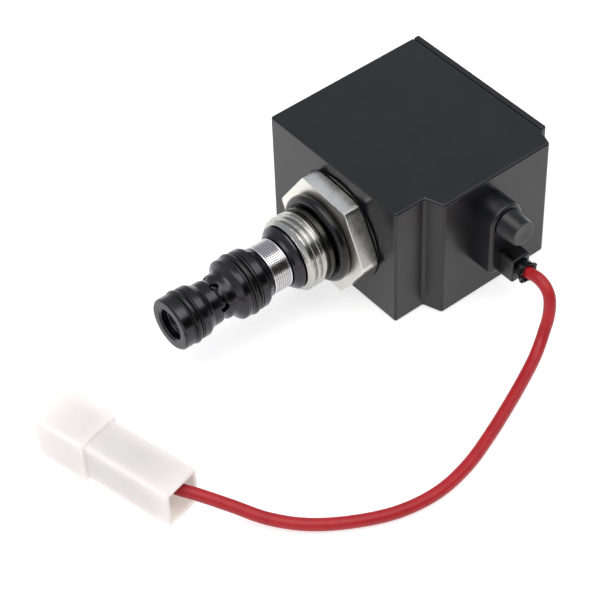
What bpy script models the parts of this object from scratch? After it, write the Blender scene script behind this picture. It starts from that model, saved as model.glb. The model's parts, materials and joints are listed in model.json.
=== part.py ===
"""Screw-in solenoid cartridge valve with a one-lead moulded coil, three ports, two positions.

Frame: +X along the cartridge towards its nose, +Y towards the lead boss, +Z up. The origin is the centre
of the coil housing's base, under the cartridge axis. Along X, sizes are read from the housing's front
face, which is the datum: positive towards the nose, negative into the coil.
"""

import math

import bmesh
import bpy
from mathutils import Vector
from mathutils.geometry import interpolate_bezier

MM = 0.001
CLEAR = 0.3 * MM
FINE_CLEAR = 0.15 * MM

# Coil housing
HOUSING_LENGTH = 46.0 * MM
HOUSING_HEIGHT = 34.3 * MM
BACK_SIDE_Y = -24.75 * MM
FLANGE_SIDE_Y = 19.85 * MM
BULGE_SIDE_Y = 24.6 * MM
FRONT_FLANGE = 8.5 * MM
FLANGE_SLANT = 1.7 * MM
REAR_COVER = 1.7 * MM
HOUSING_EDGE = 0.7 * MM
FRONT_WALL = 6.1 * MM
COIL_HALF = 14.9 * MM
TUBE_BORE_R = 6.95 * MM

# Frame
DATUM_X = HOUSING_LENGTH / 2
AXIS_Z = HOUSING_HEIGHT / 2

# Coil
PLATE = 3.0 * MM
PLATE_HALF = 14.6 * MM
COIL_FRONT = -FRONT_WALL - CLEAR
COIL_REAR = -HOUSING_LENGTH + REAR_COVER + 3 * CLEAR
SLEEVE_R = 14.25 * MM
SLEEVE_WALL = 1.5 * MM
BOBBIN_R = 12.4 * MM
BOBBIN_HUB_R = 7.9 * MM
BOBBIN_FLANGE = 1.2 * MM
WINDING_R = 11.3 * MM
TAPE_WALL = 0.35 * MM

# Lead boss on the bulge
BOSS_X = -24.1 * MM
BOSS_HALF = 4.7 * MM
BOSS_ROUND_Z = 25.1 * MM
BOSS_BOTTOM_Z = 11.0 * MM
BOSS_FACE_Y = 30.7 * MM
BOSS_EDGE = 0.9 * MM
STUB_ROOT_R = 3.8 * MM
STUB_END_R = 3.2 * MM
STUB_END_Y = 35.9 * MM
PLUG_STEM_R = 1.8 * MM
LEAD_X = -24.4 * MM
LEAD_Z = 14.1 * MM
BLOCK_HALF = 2.7 * MM
BLOCK_BOTTOM_Z = 10.7 * MM
BLOCK_TOP_Z = 17.4 * MM
BLOCK_FACE_Y = 35.6 * MM
GROMMET_STEM_R = 2.1 * MM
GROMMET_R = 2.45 * MM
GROMMET_LIP_R = 3.0 * MM
GROMMET_END_Y = 38.3 * MM

# Lead wire and its connector
WIRE_R = 1.45 * MM
LEAD_START_Y = 36.5 * MM
CONNECTOR_LENGTH = 37.2 * MM
CONNECTOR_HOOD = 14.0 * MM
CONNECTOR_WIDTH = 10.0 * MM
CONNECTOR_HOOD_WIDTH = 11.6 * MM
CONNECTOR_HEIGHT = 11.0 * MM
CONNECTOR_HOOD_HEIGHT = 11.6 * MM
CONNECTOR_WALL = 1.2 * MM
CONNECTOR_EDGE = 0.6 * MM
CONNECTOR_LIFT = 0.3 * MM
CONNECTOR_MOUTH = (71.5 * MM, 33.5 * MM)
CONNECTOR_YAW = math.radians(-76.5)
TERMINAL_Z = 6.6 * MM
TERMINAL_START = 13.8 * MM
TERMINAL_END = 31.0 * MM

# Cartridge, along X from the datum
HEX_REAR = 0.6 * MM
HEX_FRONT = 5.3 * MM
HEX_FLATS = 26.0 * MM
HEX_TURN = math.radians(-4.0)
HEX_CHAMFER_R = 13.4 * MM
HEX_CHAMFER_SLOPE = 3.2
HEX_CLEAR_R = 17.0 * MM
SEAL_INNER_R = 11.4 * MM
SEAL_OUTER_R = 14.1 * MM
SEAT_RECESS_R = 11.4 * MM
SEAT_RECESS = 0.15 * MM
SEAT_NECK_R = 8.1 * MM
SHOULDER_START = 8.7 * MM
SHOULDER_END = 10.0 * MM
SHOULDER_R = 9.15 * MM
THREAD_START = 10.8 * MM
THREAD_END = 16.2 * MM
THREAD_R = 9.25 * MM
THREAD_ROOT_R = 8.4 * MM
THREAD_PITCH = 25.4 * MM / 16
THREAD_CRESTS = 3
WEB_FRONT = 6.5 * MM
CAGE_TAIL_R = 6.8 * MM
COLLAR_START = 16.5 * MM
COLLAR_R = 8.0 * MM
NECK_R = 5.5 * MM
BORE_R = 3.7 * MM
SPOOL_R = 3.4 * MM
NOSE_END = 49.3 * MM
REAR_LAND_R = 7.42 * MM
NOSE_LAND_R = 6.4 * MM
SIDE_PORT_X = 37.3 * MM
SIDE_PORT_R = 1.15 * MM
SCREEN_PORT_X = 21.3 * MM
SCREEN_PORT_R = 1.3 * MM
PORTS = 6
PORT_TURN = math.radians(17.0)
SCREEN_START = 18.9 * MM
SCREEN_END = 23.85 * MM
SCREEN_R = 6.18 * MM
SCREEN_WALL = 0.3 * MM

# Solenoid core and moving parts, along X from the datum
TUBE_R = 6.5 * MM
TUBE_WALL = 0.65 * MM
TUBE_REAR = -45.6 * MM
TUBE_FRONT = 4.0 * MM
CORE_R = 5.5 * MM
POLE_REAR = -23.2 * MM
POLE_FRONT = 3.6 * MM
ARMATURE_REAR = -42.2 * MM
ARMATURE_FRONT = -26.7 * MM
PIN_R = 1.5 * MM
PIN_REAR = -36.0 * MM
SPOOL_REAR = 7.6 * MM
SPOOL_FRONT = 35.9 * MM
METERING_LAND = 1.4 * MM
SPRING_START = 36.3 * MM
SPRING_END = 44.9 * MM
SPRING_WIRE_R = 0.35 * MM
SPRING_MEAN_R = 2.8 * MM
SPRING_TURNS = 6
NUT_FLATS = 17.0 * MM
NUT_REAR = -49.9 * MM
STUD_R = 4.0 * MM
STUD_REAR = -51.0 * MM

FACETS = 32
FINE_FACETS = 40

MATERIALS = {
    "moulded_black": ((0.018, 0.019, 0.022), 0.45, 0.0),
    "cover_black": ((0.022, 0.023, 0.026), 0.5, 0.0),
    "rubber_black": ((0.010, 0.010, 0.011), 0.35, 0.0),
    "backup_black": ((0.03, 0.03, 0.033), 0.4, 0.0),
    "zinc_plated": ((0.62, 0.62, 0.60), 0.32, 1.0),
    "black_oxide": ((0.07, 0.07, 0.08), 0.3, 0.9),
    "stainless": ((0.66, 0.66, 0.67), 0.28, 1.0),
    "soft_iron": ((0.42, 0.42, 0.43), 0.4, 1.0),
    "spring_steel": ((0.45, 0.45, 0.46), 0.3, 1.0),
    "bobbin_nylon": ((0.55, 0.50, 0.40), 0.5, 0.0),
    "copper": ((0.72, 0.30, 0.14), 0.3, 1.0),
    "winding_tape": ((0.70, 0.45, 0.08), 0.4, 0.0),
    "brass": ((0.74, 0.56, 0.24), 0.3, 1.0),
    "tinned_brass": ((0.70, 0.68, 0.60), 0.35, 1.0),
    "red_insulation": ((0.42, 0.025, 0.03), 0.38, 0.0),
    "clear_nylon": ((0.82, 0.80, 0.76), 0.35, 0.0),
}


def clear_scene():
    for obj in list(bpy.data.objects):
        bpy.data.objects.remove(obj, do_unlink=True)


def material(name):
    found = bpy.data.materials.get(name)
    if found:
        return found
    colour, roughness, metallic = MATERIALS[name]
    made = bpy.data.materials.new(name)
    made.use_nodes = True
    shader = made.node_tree.nodes["Principled BSDF"]
    shader.inputs["Base Color"].default_value = (*colour, 1.0)
    shader.inputs["Roughness"].default_value = roughness
    shader.inputs["Metallic"].default_value = metallic
    return made


def finish_object(name, bm, finish, location, smooth=True):
    """Turns a bmesh into a named object with its material and its faces pointing out."""
    bmesh.ops.recalc_face_normals(bm, faces=bm.faces)
    if bm.calc_volume(signed=True) < 0:
        bmesh.ops.reverse_faces(bm, faces=bm.faces)
    mesh = bpy.data.meshes.new(name)
    bm.to_mesh(mesh)
    bm.free()
    if smooth:
        mesh.shade_smooth()
        mesh.set_sharp_from_angle(angle=math.radians(35))
    obj = bpy.data.objects.new(name, mesh)
    obj.location = location
    bpy.context.scene.collection.objects.link(obj)
    if finish:
        mesh.materials.append(material(finish))
    return obj


AXIS_ORIGIN = (DATUM_X, 0.0, AXIS_Z)
BASE_ORIGIN = (DATUM_X, 0.0, 0.0)


def turned(name, profile, finish, facets=FACETS, location=AXIS_ORIGIN, axis="X"):
    """Spins (along, radius) points about an axis. A chain from radius 0 to radius 0 makes a solid of
    revolution, and any other list is closed into a ring."""
    bm = bmesh.new()
    verts = [bm.verts.new((along, radius, 0.0)) for along, radius in profile]
    edges = [bm.edges.new(pair) for pair in zip(verts, verts[1:])]
    if profile[0][1] > 0:
        edges.append(bm.edges.new((verts[-1], verts[0])))
    bmesh.ops.spin(
        bm,
        geom=verts + edges,
        cent=(0, 0, 0),
        axis=(1, 0, 0),
        angle=2 * math.pi,
        steps=facets,
        use_merge=True,
    )
    bmesh.ops.remove_doubles(bm, verts=bm.verts, dist=1e-7)
    if axis == "Y":
        for vert in bm.verts:
            vert.co = Vector((-vert.co.y, vert.co.x, vert.co.z))
    return finish_object(name, bm, finish, location)


def tube_profile(start, end, inner, outer, edge=0.0):
    """A plain ring's section with its outer edges broken by a small chamfer."""
    if not edge:
        return [(start, inner), (start, outer), (end, outer), (end, inner)]
    return [
        (start, inner),
        (start, outer - edge),
        (start + edge, outer),
        (end - edge, outer),
        (end, outer - edge),
        (end, inner),
    ]


def plug_profile(start, end, radius):
    """A plain cylinder's section."""
    return [(start, 0.0), (start, radius), (end, radius), (end, 0.0)]


def o_ring(name, centre_x, centre_r, cord_r, finish="rubber_black", facets=FACETS):
    steps = 10
    loop = [
        (
            centre_x + cord_r * math.cos(2 * math.pi * i / steps),
            centre_r + cord_r * math.sin(2 * math.pi * i / steps),
        )
        for i in range(steps)
    ]
    return turned(name, loop, finish, facets)


def prism(name, outline, low, high, finish, along="Z", location=BASE_ORIGIN, smooth=False):
    """Extrudes a closed outline. Along Z the points are (x, y), along Y (x, z), along X (y, z)."""
    place = {
        "Z": lambda a, b, c: (a, b, c),
        "Y": lambda a, b, c: (a, c, b),
        "X": lambda a, b, c: (c, a, b),
    }[along]
    bm = bmesh.new()
    verts = [bm.verts.new(place(a, b, low)) for a, b in outline]
    face = bm.faces.new(verts)
    made = bmesh.ops.extrude_face_region(bm, geom=[face])
    moved = [v for v in made["geom"] if isinstance(v, bmesh.types.BMVert)]
    bmesh.ops.translate(bm, verts=moved, vec=Vector(place(0.0, 0.0, high - low)))
    return finish_object(name, bm, finish, location, smooth)


def rectangle(a0, a1, b0, b1):
    return [(a0, b0), (a1, b0), (a1, b1), (a0, b1)]


def block(name, x, y, z, finish, location=BASE_ORIGIN):
    return prism(name, rectangle(*x, *y), z[0], z[1], finish, "Z", location)


def hexagon(flats, turn=0.0):
    corner = flats / math.sqrt(3)
    return [
        (corner * math.cos(turn + i * math.pi / 3), corner * math.sin(turn + i * math.pi / 3))
        for i in range(6)
    ]


def cylinder_between(name, start, end, radius, facets=24, location=BASE_ORIGIN):
    """A plain cylinder along any line, used as a cutter."""
    bm = bmesh.new()
    bmesh.ops.create_cone(
        bm, cap_ends=True, segments=facets, radius1=radius, radius2=radius, depth=(end - start).length
    )
    turn = (end - start).to_track_quat("Z", "Y")
    for vert in bm.verts:
        vert.co = turn @ vert.co + (start + end) / 2
    return finish_object(name, bm, None, location)


def as_cutter(obj):
    obj.hide_render = True
    obj.display_type = "WIRE"
    return obj


def boolean(target, tool, operation):
    modifier = target.modifiers.new(operation.lower() + "_" + tool.name, "BOOLEAN")
    modifier.object = as_cutter(tool)
    modifier.operation = operation
    modifier.solver = "EXACT"


def cut(target, *tools):
    for tool in tools:
        boolean(target, tool, "DIFFERENCE")


def join(target, *tools):
    for tool in tools:
        boolean(target, tool, "UNION")


def round_edges(obj, width, segments=2, angle=40):
    modifier = obj.modifiers.new("edges", "BEVEL")
    modifier.width = width
    modifier.segments = segments
    modifier.limit_method = "ANGLE"
    modifier.angle_limit = math.radians(angle)


def boss_outline():
    """The lead boss seen along Y: straight sides under a half-round top."""
    steps = 14
    top = [
        (
            BOSS_X + BOSS_HALF * math.cos(math.pi * i / steps),
            BOSS_ROUND_Z + BOSS_HALF * math.sin(math.pi * i / steps),
        )
        for i in range(steps + 1)
    ]
    return [(BOSS_X - BOSS_HALF, BOSS_BOTTOM_Z), (BOSS_X + BOSS_HALF, BOSS_BOTTOM_Z), *top]


def make_housing():
    rear = -HOUSING_LENGTH + REAR_COVER + CLEAR
    plan = [
        (0.0, BACK_SIDE_Y),
        (0.0, FLANGE_SIDE_Y),
        (-FRONT_FLANGE, FLANGE_SIDE_Y),
        (-FRONT_FLANGE - FLANGE_SLANT, BULGE_SIDE_Y),
        (rear + FLANGE_SLANT, BULGE_SIDE_Y),
        (rear, FLANGE_SIDE_Y),
        (rear, BACK_SIDE_Y),
    ]
    housing = prism("coil_housing", plan, 0.0, HOUSING_HEIGHT, "moulded_black")
    round_edges(housing, HOUSING_EDGE)
    inside = BULGE_SIDE_Y - 2 * MM
    boss = prism("boss", boss_outline(), inside, BOSS_FACE_Y, None, "Y")
    round_edges(boss, BOSS_EDGE)
    block_outline = rectangle(LEAD_X - BLOCK_HALF, LEAD_X + BLOCK_HALF, BLOCK_BOTTOM_Z, BLOCK_TOP_Z)
    exit_block = prism("exit_block", block_outline, inside, BLOCK_FACE_Y, None, "Y")
    round_edges(exit_block, 0.5 * MM, 1, 60)
    join(housing, boss, exit_block)
    cavity = block(
        "coil_cavity",
        (rear - MM, -FRONT_WALL),
        (-COIL_HALF, COIL_HALF),
        (AXIS_Z - COIL_HALF, AXIS_Z + COIL_HALF),
        None,
    )
    pocket = block("lead_pocket", (-33 * MM, -FRONT_WALL), (10 * MM, 18.2 * MM), (9 * MM, 29 * MM), None)
    tube_bore = cylinder_between(
        "tube_bore", Vector((-10 * MM, 0, AXIS_Z)), Vector((2 * MM, 0, AXIS_Z)), TUBE_BORE_R, FACETS
    )
    lead = Vector((LEAD_X, 0, LEAD_Z))
    stub = Vector((BOSS_X, 0, BOSS_ROUND_Z))
    along = Vector((0, 1, 0))
    passage = cylinder_between("lead_passage", lead + along * 15 * MM, lead + along * 40 * MM, 2.0 * MM, 16)
    grommet_bore = cylinder_between(
        "grommet_bore", lead + along * 30 * MM, lead + along * 40 * MM, GROMMET_STEM_R + 0.2 * MM, 20
    )
    bore_start, bore_end = stub + along * 26 * MM, stub + along * 34 * MM
    stub_bore = cylinder_between("stub_bore", bore_start, bore_end, PLUG_STEM_R + CLEAR, 16)
    cut(housing, cavity, pocket, tube_bore, passage, grommet_bore, stub_bore)


def make_rear_cover():
    outline = rectangle(BACK_SIDE_Y, FLANGE_SIDE_Y, 0.0, HOUSING_HEIGHT)
    cover = prism("rear_cover", outline, -HOUSING_LENGTH, -HOUSING_LENGTH + REAR_COVER, "cover_black", "X")
    round_edges(cover, 0.5 * MM)
    bore = cylinder_between(
        "cover_bore", Vector((-50 * MM, 0, AXIS_Z)), Vector((-40 * MM, 0, AXIS_Z)), TUBE_BORE_R, FACETS
    )
    cut(cover, bore)


def flux_plate(name, rear, tab):
    """A square steel plate. With a tab, its +Y side reaches into the lead pocket to the earth strap."""
    low = AXIS_Z - PLATE_HALF
    high = AXIS_Z + PLATE_HALF
    outline = [(-PLATE_HALF, low), (PLATE_HALF, low), (PLATE_HALF, high), (-PLATE_HALF, high)]
    if tab:
        outline[2:2] = [(PLATE_HALF, 18 * MM), (tab, 18 * MM), (tab, 25 * MM), (PLATE_HALF, 25 * MM)]
    plate = prism(name, outline, rear, rear + PLATE, "soft_iron", "X")
    round_edges(plate, 0.6 * MM, 1)
    middle = rear + PLATE / 2
    bore = cylinder_between(
        name + "_bore",
        Vector((middle - PLATE, 0, AXIS_Z)),
        Vector((middle + PLATE, 0, AXIS_Z)),
        TUBE_BORE_R,
        FACETS,
    )
    cut(plate, bore)


def make_coil():
    front_plate_rear = COIL_FRONT - PLATE
    rear_plate_front = COIL_REAR + PLATE
    flux_plate("front_flux_plate", front_plate_rear, 17.0 * MM)
    flux_plate("rear_flux_plate", COIL_REAR, 0.0)
    front = front_plate_rear - CLEAR
    rear = rear_plate_front + CLEAR
    sleeve = turned("flux_sleeve", tube_profile(rear, front, SLEEVE_R - SLEEVE_WALL, SLEEVE_R), "soft_iron")
    window = block(
        "sleeve_window",
        (-31 * MM, -17 * MM),
        (8 * MM, 20 * MM),
        (11.5 * MM - AXIS_Z, 26 * MM - AXIS_Z),
        None,
    )
    window.location = AXIS_ORIGIN
    cut(sleeve, window)
    bore = TUBE_BORE_R
    hub = BOBBIN_HUB_R
    bobbin = [
        (rear, bore),
        (rear, BOBBIN_R),
        (rear + BOBBIN_FLANGE, BOBBIN_R),
        (rear + BOBBIN_FLANGE, hub),
        (front - BOBBIN_FLANGE, hub),
        (front - BOBBIN_FLANGE, BOBBIN_R),
        (front, BOBBIN_R),
        (front, bore),
    ]
    turned("coil_bobbin", bobbin, "bobbin_nylon")
    start = rear + BOBBIN_FLANGE + CLEAR
    end = front - BOBBIN_FLANGE - CLEAR
    turned("copper_winding", tube_profile(start, end, hub + CLEAR, WINDING_R), "copper")
    inner = WINDING_R + FINE_CLEAR
    turned("winding_tape", tube_profile(start, end, inner, inner + TAPE_WALL), "winding_tape")


def make_lead_parts():
    """The inner end of the lead, the strap that earths the winding, the grommet and the blanking plug."""
    block(
        "lead_terminal",
        (LEAD_X - MM, LEAD_X + MM),
        (12.3 * MM, 19.6 * MM),
        (LEAD_Z - 0.4 * MM, LEAD_Z + 0.4 * MM),
        "brass",
    )
    lead_origin = (DATUM_X + LEAD_X, 0.0, LEAD_Z)
    inner_end = LEAD_START_Y - CLEAR
    turned("inner_lead", plug_profile(19.9 * MM, inner_end, WIRE_R), "red_insulation", 12, lead_origin, "Y")
    strip = 0.5 * MM
    inner_y = 12.3 * MM
    outer_y = 15.9 * MM
    winding_x = -21.5 * MM
    plate_x = COIL_FRONT - PLATE - CLEAR
    strap = [
        (winding_x, inner_y),
        (winding_x + strip, inner_y),
        (winding_x + strip, outer_y - strip),
        (plate_x - strip, outer_y - strip),
        (plate_x - strip, 14.7 * MM),
        (plate_x, 14.7 * MM),
        (plate_x, outer_y),
        (winding_x, outer_y),
    ]
    prism("ground_strap", strap, 20 * MM, 23 * MM, "brass")
    bore = WIRE_R + 0.2 * MM
    shoulder = BLOCK_FACE_Y + FINE_CLEAR
    grommet = [
        (31.4 * MM, bore),
        (31.4 * MM, GROMMET_STEM_R),
        (shoulder, GROMMET_STEM_R),
        (shoulder, GROMMET_R),
        (37.1 * MM, GROMMET_R),
        (GROMMET_END_Y, GROMMET_LIP_R),
        (GROMMET_END_Y, GROMMET_LIP_R - 0.6 * MM),
        (37.0 * MM, bore),
    ]
    turned("lead_grommet", grommet, "rubber_black", 20, lead_origin, "Y")
    plug_edge = 0.25 * MM
    plug = [
        (27.0 * MM, 0.0),
        (27.0 * MM, PLUG_STEM_R),
        (BOSS_FACE_Y + FINE_CLEAR, PLUG_STEM_R),
        (BOSS_FACE_Y + FINE_CLEAR, STUB_ROOT_R),
        (STUB_END_Y - plug_edge, STUB_END_R),
        (STUB_END_Y, STUB_END_R - plug_edge),
        (STUB_END_Y, 0.0),
    ]
    turned("lead_port_plug", plug, "moulded_black", 28, (DATUM_X + BOSS_X, 0.0, BOSS_ROUND_Z), "Y")


LEAD_ROUTE = [
    (LEAD_X, LEAD_START_Y, LEAD_Z),
    (LEAD_X, 38.8 * MM, 14.5 * MM),
    (LEAD_X, 41.2 * MM, 14.8 * MM),
    (-24.3 * MM, 43.5 * MM, 14.2 * MM),
    (-24.0 * MM, 45.3 * MM, 12.6 * MM),
    (-23.3 * MM, 46.4 * MM, 10.3 * MM),
    (-22.3 * MM, 47.1 * MM, 7.8 * MM),
    (-20.9 * MM, 47.6 * MM, 5.4 * MM),
    (-18.9 * MM, 48.5 * MM, 3.3 * MM),
    (-15.8 * MM, 50.0 * MM, 1.9 * MM),
    (-11.6 * MM, 52.0 * MM, 1.5 * MM),
    (-4.2 * MM, 55.4 * MM, 1.5 * MM),
    (7.1 * MM, 60.1 * MM, 1.5 * MM),
    (17.5 * MM, 63.6 * MM, 1.5 * MM),
    (27.4 * MM, 64.9 * MM, 1.5 * MM),
    (37.2 * MM, 63.3 * MM, 1.5 * MM),
    (46.3 * MM, 59.0 * MM, 1.5 * MM),
    (53.9 * MM, 53.5 * MM, 1.6 * MM),
    (59.7 * MM, 47.3 * MM, 2.4 * MM),
    (64.2 * MM, 40.9 * MM, 4.2 * MM),
    (68.3 * MM, 35.4 * MM, 5.9 * MM),
    (71.4 * MM, 30.8 * MM, TERMINAL_Z),
    (73.2 * MM, 25.8 * MM, TERMINAL_Z),
    (74.5 * MM, 20.4 * MM, TERMINAL_Z),
]


def smooth_route(route, steps):
    """Points on the smooth curve through the route's own points."""
    knots = [Vector(point) for point in route]
    slopes = [(b - a) / 2 for a, b in zip(knots, knots[2:])]
    slopes = [knots[1] - knots[0], *slopes, knots[-1] - knots[-2]]
    points = [knots[0]]
    for i in range(len(knots) - 1):
        handle_a = knots[i] + slopes[i] / 3
        handle_b = knots[i + 1] - slopes[i + 1] / 3
        points += interpolate_bezier(knots[i], handle_a, handle_b, knots[i + 1], steps + 1)[1:]
    return points


def tube_along(name, points, radius, finish, resolution, location):
    curve = bpy.data.curves.new(name, "CURVE")
    curve.dimensions = "3D"
    spline = curve.splines.new("POLY")
    spline.points.add(len(points) - 1)
    for target, point in zip(spline.points, points):
        target.co = (*point, 1.0)
    curve.bevel_depth = radius
    curve.bevel_resolution = resolution
    curve.use_fill_caps = True
    curve.materials.append(material(finish))
    obj = bpy.data.objects.new(name, curve)
    obj.location = location
    bpy.context.scene.collection.objects.link(obj)
    return obj


def make_lead_wire():
    tube_along("lead_wire", smooth_route(LEAD_ROUTE, 2), WIRE_R, "red_insulation", 2, BASE_ORIGIN)


def make_connector():
    """A one-way nylon connector shell lying on the surface, with its crimp terminal inside. It is modelled
    from its wire mouth along +X, then turned and placed."""
    place = (DATUM_X + CONNECTOR_MOUTH[0], CONNECTOR_MOUTH[1], 0.0)
    hood_start = CONNECTOR_LENGTH - CONNECTOR_HOOD
    half = CONNECTOR_WIDTH / 2
    half_hood = CONNECTOR_HOOD_WIDTH / 2
    body_x = (0.0, hood_start + MM)
    body_z = (CONNECTOR_LIFT, CONNECTOR_HEIGHT)
    shell = block("connector_shell", body_x, (-half, half), body_z, "clear_nylon", place)
    hood = block(
        "connector_hood",
        (hood_start, CONNECTOR_LENGTH),
        (-half_hood, half_hood),
        (0.0, CONNECTOR_HOOD_HEIGHT),
        None,
        place,
    )
    round_edges(shell, CONNECTOR_EDGE)
    round_edges(hood, CONNECTOR_EDGE)
    join(shell, hood)
    inner = half - CONNECTOR_WALL
    low = CONNECTOR_LIFT + CONNECTOR_WALL
    cavity = block(
        "connector_cavity",
        (-MM, CONNECTOR_LENGTH + MM),
        (-inner, inner),
        (low, CONNECTOR_HEIGHT - CONNECTOR_WALL),
        None,
        place,
    )
    inner_hood = half_hood - CONNECTOR_WALL
    socket = block(
        "connector_socket",
        (hood_start + 2 * MM, CONNECTOR_LENGTH + MM),
        (-inner_hood, inner_hood),
        (CONNECTOR_WALL, CONNECTOR_HOOD_HEIGHT - CONNECTOR_WALL),
        None,
        place,
    )
    cut(shell, cavity, socket)
    terminal = block(
        "crimp_terminal",
        (TERMINAL_START, TERMINAL_END),
        (-2.2 * MM, 2.2 * MM),
        (TERMINAL_Z - 1.5 * MM, TERMINAL_Z + 1.5 * MM),
        "tinned_brass",
        place,
    )
    receptacle = block(
        "terminal_slot",
        (22 * MM, TERMINAL_END + 2 * MM),
        (-1.8 * MM, 1.8 * MM),
        (TERMINAL_Z - MM, TERMINAL_Z + MM),
        None,
        place,
    )
    cut(terminal, receptacle)
    for obj in (shell, hood, cavity, socket, terminal, receptacle):
        obj.rotation_euler = (0.0, 0.0, CONNECTOR_YAW)


def make_hex_adapter():
    """Hex head and threaded body in one piece, bored for the guide tube behind and the cage in front."""
    outline = hexagon(HEX_FLATS, HEX_TURN)
    head = prism("hex_adapter", outline, HEX_REAR, HEX_FRONT, "zinc_plated", "X", AXIS_ORIGIN)
    recess = plug_profile(HEX_FRONT - SEAT_RECESS, HEX_FRONT + MM, SEAT_RECESS_R)
    cut(head, turned("seat_recess", recess, None, FINE_FACETS))
    chamfer = [
        (HEX_REAR - MM, HEX_CHAMFER_R - HEX_CHAMFER_SLOPE * MM),
        (HEX_REAR - MM, HEX_CLEAR_R),
        (HEX_REAR + (HEX_CLEAR_R - HEX_CHAMFER_R) / HEX_CHAMFER_SLOPE, HEX_CLEAR_R),
    ]
    cut(head, turned("corner_chamfer", chamfer, None, FINE_FACETS))
    crests = [
        point
        for i in range(THREAD_CRESTS)
        for point in (
            (THREAD_START + (i + 0.15) * THREAD_PITCH, THREAD_R),
            (THREAD_START + (i + 0.45) * THREAD_PITCH, THREAD_R),
            (THREAD_START + (i + 0.8) * THREAD_PITCH, THREAD_ROOT_R),
        )
    ]
    body_start = HEX_REAR + 2.0 * MM
    profile = [
        (body_start, 0.0),
        (body_start, SEAT_NECK_R),
        (SHOULDER_START, SEAT_NECK_R),
        (SHOULDER_START, SHOULDER_R),
        (SHOULDER_END, SHOULDER_R),
        (SHOULDER_END, THREAD_ROOT_R),
        (THREAD_START, THREAD_ROOT_R),
        *crests,
        (THREAD_END - 0.5 * MM, THREAD_R - 0.5 * MM),
        (THREAD_END, THREAD_R - 0.95 * MM),
        (THREAD_END, 0.0),
    ]
    join(head, turned("thread_body", profile, None, FINE_FACETS))
    web_rear = TUBE_FRONT + CLEAR
    tube_seat = turned("tube_seat", plug_profile(0.0, web_rear, TUBE_R + CLEAR), None)
    pin_hole = turned("web_hole", plug_profile(web_rear - MM, WEB_FRONT + MM, PIN_R + 0.5 * MM), None, 16)
    cage_seat = turned("cage_seat", plug_profile(WEB_FRONT, THREAD_END + 3 * MM, CAGE_TAIL_R + CLEAR), None)
    cut(head, tube_seat, pin_hole, cage_seat)


def radial_holes(target, name, x, radius, turn):
    for i in range(PORTS):
        angle = turn + i * 2 * math.pi / PORTS
        out = Vector((0, math.cos(angle), math.sin(angle)))
        base = Vector((x, 0, 0))
        start, end = base + out * 1.5 * MM, base + out * 9 * MM
        tool = cylinder_between(f"{name}_{i}", start, end, radius, 10, AXIS_ORIGIN)
        cut(target, tool)


def make_cage():
    """The ported sleeve: a tail in the adapter, a tapered collar, a screened neck, two lands and a nose."""
    outer = [
        (6.9 * MM, CAGE_TAIL_R - 0.4 * MM),
        (7.3 * MM, CAGE_TAIL_R),
        (COLLAR_START, CAGE_TAIL_R),
        (COLLAR_START, COLLAR_R),
        (16.9 * MM, 7.8 * MM),
        (17.9 * MM, 6.8 * MM),
        (18.6 * MM, 6.4 * MM),
        (18.6 * MM, NECK_R),
        (24.1 * MM, NECK_R),
        (24.1 * MM, 6.1 * MM),
        (24.7 * MM, 6.35 * MM),
        (25.8 * MM, 7.15 * MM),
        (26.3 * MM, REAR_LAND_R),
        (28.0 * MM, REAR_LAND_R),
        (28.0 * MM, 5.9 * MM),
        (31.3 * MM, 5.9 * MM),
        (31.3 * MM, REAR_LAND_R),
        (32.5 * MM, REAR_LAND_R),
        (32.8 * MM, 7.2 * MM),
        (33.9 * MM, 5.85 * MM),
        (34.5 * MM, NECK_R),
        (35.8 * MM, NECK_R),
        (36.6 * MM, 5.02 * MM),
        (37.2 * MM, 4.97 * MM),
        (38.1 * MM, 5.38 * MM),
        (40.3 * MM, 5.4 * MM),
        (40.8 * MM, 5.6 * MM),
        (41.5 * MM, 6.05 * MM),
        (42.2 * MM, NOSE_LAND_R),
        (43.9 * MM, NOSE_LAND_R),
        (43.9 * MM, 4.9 * MM),
        (46.7 * MM, 4.9 * MM),
        (46.7 * MM, NOSE_LAND_R),
        (48.9 * MM, NOSE_LAND_R),
        (NOSE_END, NOSE_LAND_R - 0.4 * MM),
    ]
    inner = [
        (NOSE_END, BORE_R + 0.45 * MM),
        (48.8 * MM, BORE_R),
        (47.7 * MM, BORE_R),
        (47.7 * MM, BORE_R + 0.5 * MM),
        (46.7 * MM, BORE_R + 0.5 * MM),
        (46.7 * MM, BORE_R),
        (6.9 * MM, BORE_R),
    ]
    cage = turned("valve_cage", outer + inner, "black_oxide", FINE_FACETS)
    radial_holes(cage, "side_port", SIDE_PORT_X, SIDE_PORT_R, PORT_TURN)
    radial_holes(cage, "screen_port", SCREEN_PORT_X, SCREEN_PORT_R, PORT_TURN)


def make_seals():
    coil_seal = tube_profile(FINE_CLEAR, HEX_REAR - FINE_CLEAR, SEAL_INNER_R, SEAL_OUTER_R, 0.1 * MM)
    turned("coil_seal_ring", coil_seal, "rubber_black")
    o_ring("seat_o_ring", 6.75 * MM, 9.8 * MM, 1.3 * MM, facets=FINE_FACETS)
    o_ring("rear_o_ring", 29.65 * MM, 6.95 * MM, 0.78 * MM)
    for side, low, high in (("inner", 28.12, 28.7), ("outer", 30.58, 31.18)):
        turned(
            f"rear_backup_ring_{side}",
            tube_profile(low * MM, high * MM, 6.05 * MM, REAR_LAND_R - 0.05 * MM),
            "backup_black",
            24,
        )
    o_ring("front_o_ring", 45.3 * MM, 5.93 * MM, 0.76 * MM)
    for side, low, high in (("inner", 44.0, 44.42), ("outer", 46.18, 46.6)):
        turned(
            f"front_backup_ring_{side}",
            tube_profile(low * MM, high * MM, 5.05 * MM, NOSE_LAND_R - 0.05 * MM),
            "backup_black",
            24,
        )
    o_ring("nut_o_ring", -46.75 * MM, 5.6 * MM, 0.4 * MM, facets=24)


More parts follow.
